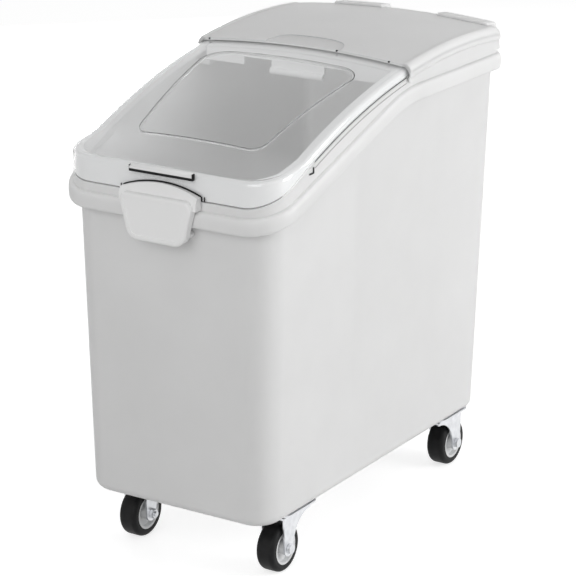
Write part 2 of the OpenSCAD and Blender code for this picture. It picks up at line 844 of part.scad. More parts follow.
module race_groove() {
    translate([0, 0, (plate_low + fork_top) / 2])
        rotate_extrude() translate([race_r, 0]) circle(groove_r, $fn = 32);
}

module rounded_plate(w, l, r) {
    square([w - 2 * r, l], center = true);
    square([w, l - 2 * r], center = true);
    for (i = [-1, 1], j = [-1, 1])
        translate([i * (w / 2 - r), j * (l / 2 - r)]) circle(r);
}

module caster_plate(code) {
    color(STEEL) at_caster(code) difference() {
        translate([0, 0, plate_low]) linear_extrude(plate_th) difference() {
            rounded_plate(plate_wid, plate_l, plate_corner_r);
            circle(kingpin_r + run_fit);
            for (i = [-1, 1], j = [-1, 1])
                translate([i * bolt_x, j * bolt_y]) circle(bolt_r + gap);
        }
        race_groove();
    }
}

module kingpin(code) {
    head_z = fork_top - fork_bridge_t - gap - kingpin_head_h;
    color(STEEL) at_caster(code) {
        translate([0, 0, head_z]) cylinder(h = floor_z - gap - head_z, r = kingpin_r);
        translate([0, 0, head_z]) cylinder(h = kingpin_head_h, r = kingpin_head_r);
    }
}

module race_balls(code) {
    color(STEEL) at_caster(code)
        for (i = [0:ball_count - 1])
            rotate([0, 0, 360 / ball_count * i])
                translate([race_r, 0, (plate_low + fork_top) / 2]) sphere(ball_r, $fn = 32);
}

module fork(code) {
    leg_x = (fork_in_w + fork_t) / 2;
    color(STEEL) at_caster(code) difference() {
        union() {
            for (i = [-1, 1])
                along_x(i * leg_x - fork_t / 2, i * leg_x + fork_t / 2) {
                    difference() {
                        polygon([
                            [-fork_hl, fork_top], [-fork_hl, wheel_r],
                            [fork_foot_l, wheel_r], [fork_hl, fork_top]
                        ]);
                        translate([-fork_hl, wheel_r]) circle(fork_sweep_r);
                    }
                    translate([trail, wheel_r]) circle(fork_eye_r);
                }
            translate([0, 0, fork_top - fork_bridge_t]) linear_extrude(fork_bridge_t)
                intersection() {
                    square([fork_in_w + fork_t, 2 * fork_hl], center = true);
                    circle(fork_bridge_r);
                }
        }
        rod_x(-fork_in_w, fork_in_w, trail, wheel_r, axle_r + run_fit);
        translate([0, 0, fork_top - overrun]) cylinder(h = 2 * overrun, r = kingpin_r + run_fit);
        race_groove();
    }
}

axle_out = fork_in_w / 2 + fork_t + gap;
module axle_bolt(code) {
    color(STEEL) at_caster(code) outer_side(code) {
        rod_x(-axle_out - axle_tail, axle_out, trail, wheel_r, axle_r);
        rod_x(axle_out, axle_out + axle_head_h, trail, wheel_r, axle_head_r);
    }
}

module axle_nut(code) {
    color(STEEL) at_caster(code) outer_side(code)
        along_x(-axle_out - axle_nut_h, -axle_out) translate([trail, wheel_r]) difference() {
            circle(axle_head_r, $fn = 6);
            circle(axle_r + run_fit);
        }
}

module axle_sleeve(code) {
    color(STEEL) at_caster(code)
        along_x(gap - fork_in_w / 2, fork_in_w / 2 - gap) translate([trail, wheel_r]) difference() {
            circle(sleeve_r);
            circle(axle_r + run_fit);
        }
}

module on_axle(code) {
    at_caster(code) translate([0, trail, wheel_r]) rotate([0, 90, 0]) children();
}

module wheel_hub(code) {
    boss_hw = fork_in_w / 2 - side_gap;
    color(GREY) on_axle(code) rotate_extrude() {
        translate([sleeve_r + run_fit, -boss_hw]) square([hub_boss_r - sleeve_r - run_fit, 2 * boss_hw]);
        translate([hub_boss_r - run_fit, -hub_web_w / 2]) square([hub_r - hub_boss_r, hub_web_w]);
        translate([hub_r - hub_rim_t - run_fit, -hub_w / 2]) square([hub_rim_t, hub_w]);
    }
}

module tyre(code) {
    color(DARK) on_axle(code) rotate_extrude() difference() {
        union() {
            translate([hub_r, -tyre_w / 2]) square([wheel_r - tyre_round - hub_r, tyre_w]);
            translate([hub_r, tyre_round - tyre_w / 2]) square([wheel_r - hub_r, tyre_w - 2 * tyre_round]);
            for (i = [-1, 1])
                translate([wheel_r - tyre_round, i * (tyre_w / 2 - tyre_round)]) circle(tyre_round);
        }
        translate([0, -tyre_w]) square([hub_r, 2 * tyre_w]);
    }
}

// Fasteners of the four caster plates

module caster_bolts() {
    color(STEEL) caster_bolt_places() {
        translate([0, 0, plate_low - nut_h])
            cylinder(h = floor_top + washer_t - plate_low + nut_h, r = bolt_r);
        translate([0, 0, floor_top + washer_t]) cylinder(h = bolt_head_h, r = bolt_head_r);
    }
}

module caster_washers() {
    color(STEEL) caster_bolt_places()
        translate([0, 0, floor_top]) linear_extrude(washer_t) difference() {
            circle(washer_r);
            circle(bolt_r + run_fit);
        }
}

module caster_nuts() {
    color(STEEL) caster_bolt_places()
        translate([0, 0, plate_low - nut_h]) linear_extrude(nut_h) difference() {
            circle(nut_r, $fn = 6);
            circle(bolt_r + run_fit);
        }
}

// Caster parts by corner: front left, front right, rear left, rear right

module caster_plate_fl() caster_plate("fl");
module caster_plate_fr() caster_plate("fr");
module caster_plate_rl() caster_plate("rl");
module caster_plate_rr() caster_plate("rr");
module kingpin_fl() kingpin("fl");
module kingpin_fr() kingpin("fr");
module kingpin_rl() kingpin("rl");
module kingpin_rr() kingpin("rr");
module race_balls_fl() race_balls("fl");
module race_balls_fr() race_balls("fr");
module race_balls_rl() race_balls("rl");
module race_balls_rr() race_balls("rr");
module fork_fl() fork("fl");
module fork_fr() fork("fr");
module fork_rl() fork("rl");
module fork_rr() fork("rr");
module axle_bolt_fl() axle_bolt("fl");
module axle_bolt_fr() axle_bolt("fr");
module axle_bolt_rl() axle_bolt("rl");
module axle_bolt_rr() axle_bolt("rr");
module axle_nut_fl() axle_nut("fl");
module axle_nut_fr() axle_nut("fr");
module axle_nut_rl() axle_nut("rl");
module axle_nut_rr() axle_nut("rr");
module axle_sleeve_fl() axle_sleeve("fl");
module axle_sleeve_fr() axle_sleeve("fr");
module axle_sleeve_rl() axle_sleeve("rl");
module axle_sleeve_rr() axle_sleeve("rr");
module wheel_hub_fl() wheel_hub("fl");
module wheel_hub_fr() wheel_hub("fr");
module wheel_hub_rl() wheel_hub("rl");
module wheel_hub_rr() wheel_hub("rr");
module tyre_fl() tyre("fl");
module tyre_fr() tyre("fr");
module tyre_rl() tyre("rl");
module tyre_rr() tyre("rr");

tub();
slide_rail_left();
slide_rail_right();
cross_bar();
handle_plate();
handle_screws();
rear_cover();
cover_hinge_pin();
front_lid();
lid_seal();
caster_bolts();
caster_washers();
caster_nuts();
caster_plate_fl();
caster_plate_fr();
caster_plate_rl();
caster_plate_rr();
kingpin_fl();
kingpin_fr();
kingpin_rl();
kingpin_rr();
race_balls_fl();
race_balls_fr();
race_balls_rl();
race_balls_rr();
fork_fl();
fork_fr();
fork_rl();
fork_rr();
axle_bolt_fl();
axle_bolt_fr();
axle_bolt_rl();
axle_bolt_rr();
axle_nut_fl();
axle_nut_fr();
axle_nut_rl();
axle_nut_rr();
axle_sleeve_fl();
axle_sleeve_fr();
axle_sleeve_rl();
axle_sleeve_rr();
wheel_hub_fl();
wheel_hub_fr();
wheel_hub_rl();
wheel_hub_rr();
tyre_fl();
tyre_fr();
tyre_rl();
tyre_rr();
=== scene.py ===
"""Looks of the rolling flour bin: smooth white tub and cover, clear sliding lid, zinc and rubber casters."""
import json
import math

import bmesh
import bpy
import numpy as np
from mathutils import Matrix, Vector


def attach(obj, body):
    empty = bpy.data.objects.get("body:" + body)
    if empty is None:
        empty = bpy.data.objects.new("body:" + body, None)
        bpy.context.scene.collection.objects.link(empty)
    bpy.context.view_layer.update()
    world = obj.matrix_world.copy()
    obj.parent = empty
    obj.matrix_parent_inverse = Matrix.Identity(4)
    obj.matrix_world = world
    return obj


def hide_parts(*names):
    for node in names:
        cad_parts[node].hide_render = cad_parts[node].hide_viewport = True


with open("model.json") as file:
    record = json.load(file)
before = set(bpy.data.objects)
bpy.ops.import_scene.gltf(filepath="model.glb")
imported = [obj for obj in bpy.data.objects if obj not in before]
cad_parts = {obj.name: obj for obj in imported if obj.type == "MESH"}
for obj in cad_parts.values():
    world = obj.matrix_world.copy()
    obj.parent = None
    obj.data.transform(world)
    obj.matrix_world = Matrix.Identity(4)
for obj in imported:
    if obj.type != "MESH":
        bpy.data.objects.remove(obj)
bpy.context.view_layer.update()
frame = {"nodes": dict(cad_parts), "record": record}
scene = bpy.context.scene

# Sizes of the object are in millimetres, as in the part's source, and MM turns them into metres
MM = 0.001

# A box holds half width, front, rear, front corner radius and rear corner radius
FLOOR_BOX = (159.0, -308.0, 310.0, 40.0, 20.0)
LIP_BOX = (181.0, -323.0, 334.0, 52.0, 28.0)
LIP_HW, LIP_FRONT, LIP_REAR, LIP_FRONT_R, LIP_REAR_R = LIP_BOX
LEAST_R = 4.0

# Tub walls and rolled rim
FLOOR_Z = 96.0
WALL = 4.0
FLOOR_EDGE_R = 15.0
INNER_EDGE_R = 8.0
WALL_IN = 7.0
ROLL_H = 25.0
ROLL_OUT = 7.5
RIM_FRONT = 533.0
RIM_REAR = 653.0
RIM_SLOPE = 18.5
RIM_TAN = math.tan(math.radians(RIM_SLOPE))
BEND_LEN = 45.0
BEND_Y = LIP_FRONT - ROLL_OUT + (RIM_REAR - RIM_FRONT) / RIM_TAN
ROLL_TOP = RIM_REAR + ROLL_H
WALL_REF_Z = ROLL_TOP - WALL
LIP_REAR_RISE = 5.0

# The arc that the cover, the lid and the rails follow
ARC_R = 1127.0
ARC_Y = 205.0
ARC_TOP = 722.0
ARC_Z = ARC_TOP - ARC_R
CROWN = 10.0
SHEET = 3.0
LID_R = 1123.0
LID_FLOOR_R = 1111.6
RAIL_TOP_R = 1111.0
RAIL_SEAT_R = 1107.5
RAIL_FRONT_Y = -228.0
RAIL_REAR_Y = 306.0
RAIL_STEP = 0.6

# Cover and lid
JOINT_Y = 38.0
COVER_HW = 187.6
COVER_REAR = 336.0
COVER_EDGE_R = 12.0
COVER_REAR_R = 30.0
COVER_LOW = 685.0
COVER_BAND_H = 4.0
COVER_SET_IN = 1.8
LID_REAR = 50.0
LID_EDGE_R = 8.5
LID_PANEL_FRONT = -314.5
LID_FRONT_DROP = 13.8
CREASE_Y = -236.0


# Heights
def arc_at(r, y):
    """Height at y of a circle of radius r about the arc's centre."""
    return ARC_Z + math.sqrt(r * r - (y - ARC_Y) ** 2)


def crown_at(x):
    """Rise of the crowned shells at x."""
    return CROWN * (1 - (x / LIP_HW) ** 2)


def cover_top(x, y):
    return arc_at(ARC_R + crown_at(x), y)


LID_FRONT_Z = arc_at(LID_R, CREASE_Y) - LID_FRONT_DROP


def lid_top(x, y):
    """Height of the lid's top: the crowned arc, and a flatter panel in front of the crease."""
    if y > CREASE_Y:
        return arc_at(LID_R + crown_at(x), y)
    crease_z = arc_at(LID_R + crown_at(x), CREASE_Y)
    return crease_z + (LID_FRONT_Z - crease_z) * (y - CREASE_Y) / (LID_PANEL_FRONT - CREASE_Y)


def rim_at(y):
    """Height of the rim's lower edge: a slope, a bend and a level stretch."""
    if y < BEND_Y - BEND_LEN:
        return RIM_REAR - (BEND_Y - y) * RIM_TAN
    if y > BEND_Y + BEND_LEN:
        return RIM_REAR
    return RIM_REAR - RIM_TAN * (BEND_Y + BEND_LEN - y) ** 2 / (4 * BEND_LEN)


def lip_at(y):
    """Height of the lip's top, which is lower where the rails sit on it."""
    if y > RAIL_REAR_Y + RAIL_STEP:
        return ROLL_TOP + LIP_REAR_RISE
    return arc_at(RAIL_TOP_R if y < RAIL_FRONT_Y else RAIL_SEAT_R, y)


# Outlines
CORNER_STEPS = 16
REAR_CORNER_STEPS = 11
FRONT_SHARES = (0.0, 0.34, 0.67)
REAR_SHARES = (0.5, 0.0)
END_SHARES = (0.66, 0.33, 0.0)
QUARTER = np.radians(np.linspace(0, 90, 8))


def inset(box, d):
    """A box set in by d on every side."""
    hw, front, rear, front_r, rear_r = box
    return hw - d, front + d, rear - d, max(front_r - d, LEAST_R), max(rear_r - d, LEAST_R)


def bend(x, y, r, start, end, steps):
    """Points of a circle about x, y between two angles in degrees."""
    angles = np.radians(np.linspace(start, end, steps))
    return [(x + r * math.cos(a), y + r * math.sin(a)) for a in angles]


def outline(box, shares):
    """A closed outline with round corners, and points along its sides at these shares."""
    hw, front, rear, front_r, rear_r = box
    y0, y1 = front + front_r, rear - rear_r
    pts = [((hw - front_r) * t, front) for t in FRONT_SHARES]
    pts += bend(hw - front_r, y0, front_r, -90, 0, CORNER_STEPS)
    pts += [(hw, y0 + (y1 - y0) * t) for t in shares]
    pts += bend(hw - rear_r, y1, rear_r, 0, 90, REAR_CORNER_STEPS)
    pts += [((hw - rear_r) * t, rear) for t in REAR_SHARES]
    return pts + [(-x, y) for x, y in pts[-2:0:-1]]


def u_outline(hw, y0, y1, r, shares):
    """An outline that is open at y0 and closes with round corners at y1."""
    way = 1 if y1 > y0 else -1
    y_bend = y1 - way * r
    half = [(hw, y0 + (y_bend - y0) * t) for t in shares]
    half += bend(hw - r, y_bend, r, 0, 90 * way, CORNER_STEPS)
    half += [((hw - r) * t, y1) for t in END_SHARES]
    return half + [(-x, y) for x, y in half[-2::-1]]


def rectangle(p, q, across):
    """Four points of a rectangle with opposite corners p and q, flat across the named axis."""
    if across == "x":
        return [(p[0], p[1], p[2]), (p[0], q[1], p[2]), (p[0], q[1], q[2]), (p[0], p[1], q[2])]
    return [(p[0], p[1], p[2]), (q[0], p[1], p[2]), (q[0], q[1], q[2]), (p[0], q[1], q[2])]


# Meshes
SHARP = 38.0
WELD = 2e-6


def shade(me, sharp):
    """Smooth faces, with edges kept sharp above this angle in degrees."""
    me.polygons.foreach_set("use_smooth", [True] * len(me.polygons))
    me.set_sharp_from_angle(angle=math.radians(sharp))


def new_mesh(name, points, faces, sharp=SHARP):
    me = bpy.data.meshes.new(name)
    me.from_pydata([tuple(c * MM for c in p) for p in points], [], faces)
    me.validate()
    bm = bmesh.new()
    bm.from_mesh(me)
    bmesh.ops.recalc_face_normals(bm, faces=bm.faces)
    bm.to_mesh(me)
    bm.free()
    shade(me, sharp)
    ob = bpy.data.objects.new(name, me)
    scene.collection.objects.link(ob)
    return ob


def tube_faces(count, n):
    """Faces between rings of n points each."""
    out = []
    for k in range(count - 1):
        a, b = k * n, (k + 1) * n
        for i in range(n):
            j = (i + 1) % n
            out.append((a + j, b + j, b + i, a + i))
    return out


def skin_faces(start, rings, m):
    """Faces between open rings of m points, with the last ring closed across its middle."""
    out = []
    for k in range(rings - 1):
        for i in range(m - 1):
            a = start + k * m + i
            out.append((a, a + 1, a + m + 1, a + m))
    last = start + (rings - 1) * m
    mid = (m - 1) // 2
    for i in range(mid - 1):
        out.append((last + i, last + i + 1, last + m - 2 - i, last + m - 1 - i))
    out.append((last + mid - 1, last + mid, last + mid + 1))
    return out


def open_shell(name, outer, inner, flip=False):
    """A sheet between two skins that are open at one end. With flip, its faces run the other way round."""
    rings, m = len(outer), len(outer[0])
    in0, top = rings * m, (rings - 1) * m
    faces = skin_faces(0, rings, m) + [f[::-1] for f in skin_faces(in0, rings, m)]
    faces += [(in0 + i, in0 + i + 1, i + 1, i) for i in range(m - 1)]
    for k in range(rings - 1):
        a, b = k * m, (k + 1) * m
        faces.append((a, b, in0 + b, in0 + a))
        a, b = a + m - 1, b + m - 1
        faces.append((b, a, in0 + a, in0 + b))
    faces.append((top, top + m - 1, in0 + top + m - 1, in0 + top))
    if flip:
        faces = [f[::-1] for f in faces]
    return new_mesh(name, [p for ring in (*outer, *inner) for p in ring], faces)


def loft(name, sections, sharp=SHARP):
    """A closed solid through equal sections, with its two ends filled."""
    n = len(sections[0])
    end = (len(sections) - 1) * n
    faces = tube_faces(len(sections), n)
    faces += [tuple(range(n)), tuple(end + i for i in range(n))[::-1]]
    return new_mesh(name, [p for section in sections for p in section], faces, sharp)


def ring_tube(name, rings):
    """A closed solid through rings, the last of which joins the first."""
    n = len(rings[0])
    total = len(rings) * n
    faces = [tuple(i % total for i in f) for f in tube_faces(len(rings) + 1, n)]
    return new_mesh(name, [p for ring in rings for p in ring], faces)


def block(name, start, end):
    """A plain box between two opposite corners."""
    (x0, y0, z0), (x1, y1, z1) = start, end
    ring = [(x0, y0), (x1, y0), (x1, y1), (x0, y1)]
    return loft(name, [[(x, y, z) for x, y in ring] for z in (z0, z1)])


def rod_x(name, x0, x1, y, z, r, sides=40, edge=0.6):
    """A round rod along X with eased ends."""
    turn = np.linspace(0, 2 * math.pi, sides, endpoint=False)
    stations = ((x0, r - edge), (x0 + edge, r), (x1 - edge, r), (x1, r - edge))
    sections = [[(x, y + rad * math.cos(t), z + rad * math.sin(t)) for t in turn] for x, rad in stations]
    return loft(name, sections)


def carve(ob, cutter):
    """Cuts a shape out of a piece and keeps the result as the piece's own mesh."""
    mod = ob.modifiers.new("cut", "BOOLEAN")
    mod.operation, mod.solver, mod.object = "DIFFERENCE", "EXACT", cutter
    bpy.context.view_layer.update()
    me = bpy.data.meshes.new_from_object(ob.evaluated_get(bpy.context.evaluated_depsgraph_get()))
    ob.modifiers.remove(mod)
    bm = bmesh.new()
    bm.from_mesh(me)
    bmesh.ops.remove_doubles(bm, verts=bm.verts, dist=WELD)
    bmesh.ops.holes_fill(bm, edges=[e for e in bm.edges if len(e.link_faces) == 1])
    bm.to_mesh(me)
    bm.free()
    shade(me, SHARP)
    ob.data = me
    bpy.data.objects.remove(cutter)


def smoothed(rings, times=2):
    """Cuts the corners of the line that each station makes through these rings."""
    for _ in range(times):
        out = [rings[0]]
        for a, b in zip(rings[:-1], rings[1:]):
            a, b = np.array(a), np.array(b)
            out += [list(map(tuple, a * 0.75 + b * 0.25)), list(map(tuple, a * 0.25 + b * 0.75))]
        out.append(rings[-1])
        rings = out
    return rings


def eased(points, reach, times=3):
    """Cuts the corners of a line, each by a quarter of its sides or by this reach at most."""
    for _ in range(times):
        out = [points[0]]
        for a, b in zip(points[:-1], points[1:]):
            t = min(0.25, reach / max(math.dist(a, b), 0.01))
            a, b = np.array(a), np.array(b)
            out += [tuple(a * (1 - t) + b * t), tuple(a * t + b * (1 - t))]
        points = out + [points[-1]]
    return points


# Tub
SIDE_STEPS = 9
SLOPE_RUN = (-205.0, BEND_Y - BEND_LEN - 16.0)
BEND_RUN = (BEND_Y - BEND_LEN, BEND_Y + BEND_LEN)
LEVEL_RUN = (BEND_Y + BEND_LEN + 22.0, 290.0)
# Points of the roll's section, as shares of its reach out and of its height
ROLL_SHARES = (
    (0.45, 0.8), (0.5, 0.03), (0.7, 0.0), (0.92, 0.08),
    (1.0, 0.28), (1.0, 0.62), (0.88, 0.82), (0.6, 0.95),
)
ROLL_FOOT_GAP = 0.3
LIP_EASE = 0.8
TUB_SHARP = 30.0

side_y = [RAIL_FRONT_Y - RAIL_STEP, RAIL_FRONT_Y]
for run in (SLOPE_RUN, BEND_RUN, LEVEL_RUN):
    side_y += list(np.linspace(*run, SIDE_STEPS))
side_start, side_end = LIP_FRONT + LIP_FRONT_R, LIP_REAR - LIP_REAR_R
side_shares = sorted((y - side_start) / (side_end - side_start) for y in side_y)
lip_ring = outline(LIP_BOX, side_shares)


def wall_at(d, heights):
    """The tapered wall's outline, set in by d, at a height for each of its points."""
    low = outline(inset(FLOOR_BOX, d), side_shares)
    high = outline(inset(LIP_BOX, d + WALL_IN), side_shares)
    out = []
    for (x0, y0), (x1, y1), z in zip(low, high, heights):
        t = (z - FLOOR_Z) / (WALL_REF_Z - FLOOR_Z)
        out.append((x0 + (x1 - x0) * t, y0 + (y1 - y0) * t, z))
    return out


def floor_edge(d, z, r, angle):
    """A level ring of the rounded edge between wall and floor."""
    height = z + r * (1 - math.cos(angle))
    return wall_at(d + r * (1 - math.sin(angle)), [height] * len(lip_ring))


def wall_ring(d, dz):
    return wall_at(d, [rim_at(y) + dz for x, y in lip_ring])


def lip_ring_at(d, heights):
    return [(x, y, z) for (x, y), z in zip(outline(inset(LIP_BOX, d), side_shares), heights)]


def rim_ring(d, dz):
    return lip_ring_at(d, [rim_at(y) + dz for x, y in lip_ring])


def lip_top_ring(d, dz=0.0):
    return lip_ring_at(d, [lip_at(y) + dz for x, y in lip_ring])


def make_tub():
    """One closed skin: up the outside, round the roll, over the lip and down the inside."""
    rings = [floor_edge(0, FLOOR_Z, FLOOR_EDGE_R, a) for a in QUARTER]
    rings += [wall_ring(0, ROLL_H / 2)]
    roll = [rim_ring(WALL_IN / 2, ROLL_H - WALL - ROLL_FOOT_GAP)]
    roll += [rim_ring(-ROLL_OUT * out, ROLL_H * up) for out, up in ROLL_SHARES]
    rings += smoothed(roll + [rim_ring(0, ROLL_H)])
    rings += [lip_top_ring(0, -LIP_EASE), lip_top_ring(LIP_EASE)]
    rings += [lip_top_ring(WALL - LIP_EASE), lip_top_ring(WALL, -LIP_EASE)]
    rings += [rim_ring(WALL, ROLL_H + WALL), wall_ring(WALL, ROLL_H / 2)]
    rings += [floor_edge(WALL, FLOOR_Z + WALL, INNER_EDGE_R, a) for a in QUARTER[::-1]]
    return loft("tub_shell", rings, TUB_SHARP)


tub_shell = make_tub()

# Cover, with the set-in of each ring on its top
COVER_SHARES = np.linspace(0, 0.97, 20)
COVER_RINGS = (16, 24, 36, 50, 66, 84, 102, 120, 138, 156, 172)


def cover_ring(d):
    return u_outline(COVER_HW - d, JOINT_Y, COVER_REAR - d, max(COVER_REAR_R - d, LEAST_R), COVER_SHARES)


def cover_at(d, drop):
    return [(x, y, cover_top(x, y) - drop) for x, y in cover_ring(d)]


def cover_skin(t):
    """The cover's outer skin at t = 0, and its inner skin at the sheet's thickness."""
    e = COVER_EDGE_R
    band = e + COVER_BAND_H
    rings = [[(x, y, COVER_LOW) for x, y in cover_ring(COVER_SET_IN / 2 + t)]]
    rings += smoothed([
        cover_at(COVER_SET_IN + t, band + 2 * COVER_SET_IN),
        cover_at(COVER_SET_IN + t, band + COVER_SET_IN),
        cover_at(t, band),
        cover_at(t, e),
    ])
    rings += [cover_at(t + (e - t) * (1 - math.cos(a)), t + (e - t) * (1 - math.sin(a))) for a in QUARTER[1:]]
    return rings + [cover_at(d, t) for d in COVER_RINGS]


cover_shell = open_shell("cover_shell", cover_skin(0), cover_skin(SHEET), flip=True)

# Finger recess in the cover's front edge, with a thin grey line round it: painted shade along the recess's
# wall
SCOOP_HW = 65.0
SCOOP_L = 38.0
SCOOP_D = 1.6
SCOOP_FRONT = 5.0
SCOOP_Y = JOINT_Y - SCOOP_FRONT
SCOOP_POWER = 0.6
SCOOP_STEPS = 65
# Rings of the cut, from its middle outwards: share of its outline, and depth below the cover's top
SCOOP_CUT = [(share, SCOOP_D) for share in (0.03, 0.2, 0.45, 0.7, 0.9)]
SCOOP_CUT += [(0.96, SCOOP_D * 0.85), (1.0, SCOOP_D / 2), (1.0, -5.0)]
LINE_START = 1.0
LINE_W = 0.45
LINE_DEEP = 0.9
LINE_PROUD = 0.1


def squarer(v):
    return math.copysign(abs(v) ** SCOOP_POWER, v)


def scoop_edge(angle):
    reach = SCOOP_L + SCOOP_FRONT
    return SCOOP_HW * squarer(math.cos(angle)), SCOOP_Y + reach * squarer(math.sin(angle))


def scoop_ring(share, drop):
    pts = [(x * share, SCOOP_Y + (y - SCOOP_Y) * share) for x, y in scoop_outline]
    return [(x, y, cover_top(x, y) - drop) for x, y in pts]


def scoop_shade_section(x, y):
    """A thin upright strip against the recess's wall, in grey: painted shade."""
    k = 1 - LINE_W / math.hypot(x, y - SCOOP_Y)
    xi, yi = x * k, SCOOP_Y + (y - SCOOP_Y) * k
    z, zi = cover_top(x, y), cover_top(xi, yi)
    outer = [(x, y, z - LINE_DEEP), (x, y, z + LINE_PROUD)]
    return outer + [(xi, yi, zi + LINE_PROUD), (xi, yi, zi - LINE_DEEP)]


scoop_outline = [scoop_edge(a) for a in np.radians(np.linspace(0, 180, SCOOP_STEPS))]
carve(cover_shell, loft("scoop_cut", [scoop_ring(share, drop) for share, drop in SCOOP_CUT]))
line_run = [(x, y) for x, y in scoop_outline if y > JOINT_Y + LINE_START]
scoop_shade_line = loft("recess_shade_line", [scoop_shade_section(x, y) for x, y in line_run])

# Raised bead along each side edge of the cover: set-in and height of its section's points
BEAD = (
    (15.5, -0.4), (14.0, 0.7), (12.0, 1.8), (9.0, 2.4), (6.0, 1.7), (3.6, -0.4),
    (1.9, -3.3), (0.8, -6.8), (0.3, -10.6), (3.0, -10.6), (9.0, -4.0), (15.5, -1.6),
)
BEAD_SINK = 0.3
BEAD_SHARP = 50.0
# Places along the bead, with the share of its full height that it has there
BEAD_RUN = [(JOINT_Y + 0.2, 0.7), (JOINT_Y + 1.4, 1.0)]
BEAD_RUN += [(y, 1.0) for y in np.linspace(JOINT_Y + 12, 296, 22)]
BEAD_RUN += [(304.0, 0.8), (309.0, 0.35), (311.0, 0.02)]


def bead_section(side, y, share):
    out = []
    for d, h in BEAD:
        x = side * (COVER_HW - d)
        over = max(COVER_EDGE_R - d, 0.0)
        low = math.sqrt(COVER_EDGE_R ** 2 - over ** 2) - COVER_EDGE_R - BEAD_SINK
        rise = low + (h - low) * share if h > low else h
        out.append((x, y, cover_top(x, y) + rise))
    return out


def make_bead(side):
    return loft("cover_bead_%d" % side, [bead_section(side, y, share) for y, share in BEAD_RUN], BEAD_SHARP)


beads = [make_bead(side) for side in (-1, 1)]

# Hinge: leaves over the cover's rear edge, the tub's lugs between them, and notches for the lugs
HINGE_Y = 340.0
HINGE_Z = 685.0
HINGE_R = 5.0
LEAF_SHARES = ((-0.6, -0.12), (0.43, 0.92))
LEAVES = [(a * LIP_HW, b * LIP_HW) for a, b in LEAF_SHARES]
LEAF_GAP = 2.0
LUG_END_SHARE = -0.91
LUGS = [(LUG_END_SHARE * LIP_HW, LEAVES[0][0] - LEAF_GAP), (LEAVES[0][1] + LEAF_GAP, LEAVES[1][0] - LEAF_GAP)]
NOTCH_GAP = 1.5
NOTCH_Y = (329.0, 344.0)
NOTCH_Z = (691.5, 680.0)
LEAF_T = 4.0
LEAF_RISE = 4.5
LEAF_REACH = 28.0
LEAF_ROUND = 5.0
LEAF_NOSE = 2.5
LEAF_NOSE_DROP = 0.5
LEAF_CUT = 1.2
LEAF_EASE = 0.6
LEAF_END = 0.8
LEAF_STEPS = 12
LEAF_SHARP = 45.0
LUG_REAR = 3.0


def leaf_section(x, ease):
    front, rear = COVER_REAR - LEAF_REACH, COVER_REAR + LEAF_T - ease
    front_z, rear_z = cover_top(x, front), cover_top(x, COVER_REAR)
    rise = LEAF_RISE - ease
    outer = [
        (front + ease, front_z - SHEET / 2),
        (front + ease, front_z + rise),
        (rear - LEAF_NOSE, rear_z + rise - LEAF_NOSE_DROP),
        (rear, rear_z - LEAF_ROUND),
        (rear, HINGE_Z),
    ]
    inner_y, edge_y = COVER_REAR - SHEET / 2, COVER_REAR - COVER_EDGE_R
    inner = [(inner_y, HINGE_Z), (inner_y, rear_z - COVER_EDGE_R), (edge_y, cover_top(x, edge_y) - SHEET / 2)]
    return [(x, y, z) for y, z in eased(outer, LEAF_CUT) + inner]


def make_leaf(i, x0, x1):
    sections = [leaf_section(x1, LEAF_EASE)]
    sections += [leaf_section(x, 0.0) for x in np.linspace(x1 - LEAF_END, x0 + LEAF_END, LEAF_STEPS)]
    sections += [leaf_section(x0, LEAF_EASE)]
    leaf = loft("cover_leaf_%d" % i, sections, LEAF_SHARP)
    return [leaf, rod_x("cover_knuckle_%d" % i, x0, x1, HINGE_Y, HINGE_Z, HINGE_R)]


def make_lug(i, x0, x1):
    low, high = (HINGE_Y - HINGE_R, ROLL_TOP - WALL), (HINGE_Y + LUG_REAR, HINGE_Z)
    lug = loft("hinge_lug_%d" % i, [rectangle((x, *low), (x, *high), "x") for x in (x1, x0)])
    return [lug, rod_x("hinge_barrel_%d" % i, x0, x1, HINGE_Y, HINGE_Z, HINGE_R)]


for x0, x1 in LUGS:
    start = (x0 - NOTCH_GAP, NOTCH_Y[0], NOTCH_Z[0])
    end = (x1 + NOTCH_GAP, NOTCH_Y[1], NOTCH_Z[1])
    carve(cover_shell, block("lug_cut", start, end))
cover_parts = [piece for i, ends in enumerate(LEAVES) for piece in make_leaf(i, *ends)]
tub_parts = [piece for i, ends in enumerate(LUGS) for piece in make_lug(i, *ends)]

# Lid, with the set-in of each ring on its top
LID_CREASE_SHARE = (LID_REAR - CREASE_Y) / (LID_REAR - LIP_FRONT - LIP_FRONT_R)
LID_SHARES = [*np.linspace(0, 0.86, 22), LID_CREASE_SHARE, 0.95]
LID_RINGS = (14, 24, 40, 56, 70, 87, 104, 122, 140, 156, 168)


def lid_ring(d):
    return u_outline(LIP_HW - d, LID_REAR, LIP_FRONT + d, max(LIP_FRONT_R - d, LEAST_R), LID_SHARES)


def lid_at(d, drop):
    return [(x, y, lid_top(x, y) - drop) for x, y in lid_ring(d)]


def lid_floor(ring):
    """A ring at the level of the skirt's lower edge."""
    return [(x, y, arc_at(LID_FLOOR_R, y)) for x, y in ring]


def lid_skin(t):
    """The lid's outer skin at t = 0, and its inner skin at the sheet's thickness."""
    e = LID_EDGE_R
    rings = [lid_floor(lid_ring(t))]
    rings += [lid_at(t + (e - t) * (1 - math.cos(a)), t + (e - t) * (1 - math.sin(a))) for a in QUARTER]
    return rings + [lid_at(d, t) for d in LID_RINGS]


lid_shell = open_shell("lid_shell", lid_skin(0), lid_skin(SHEET))

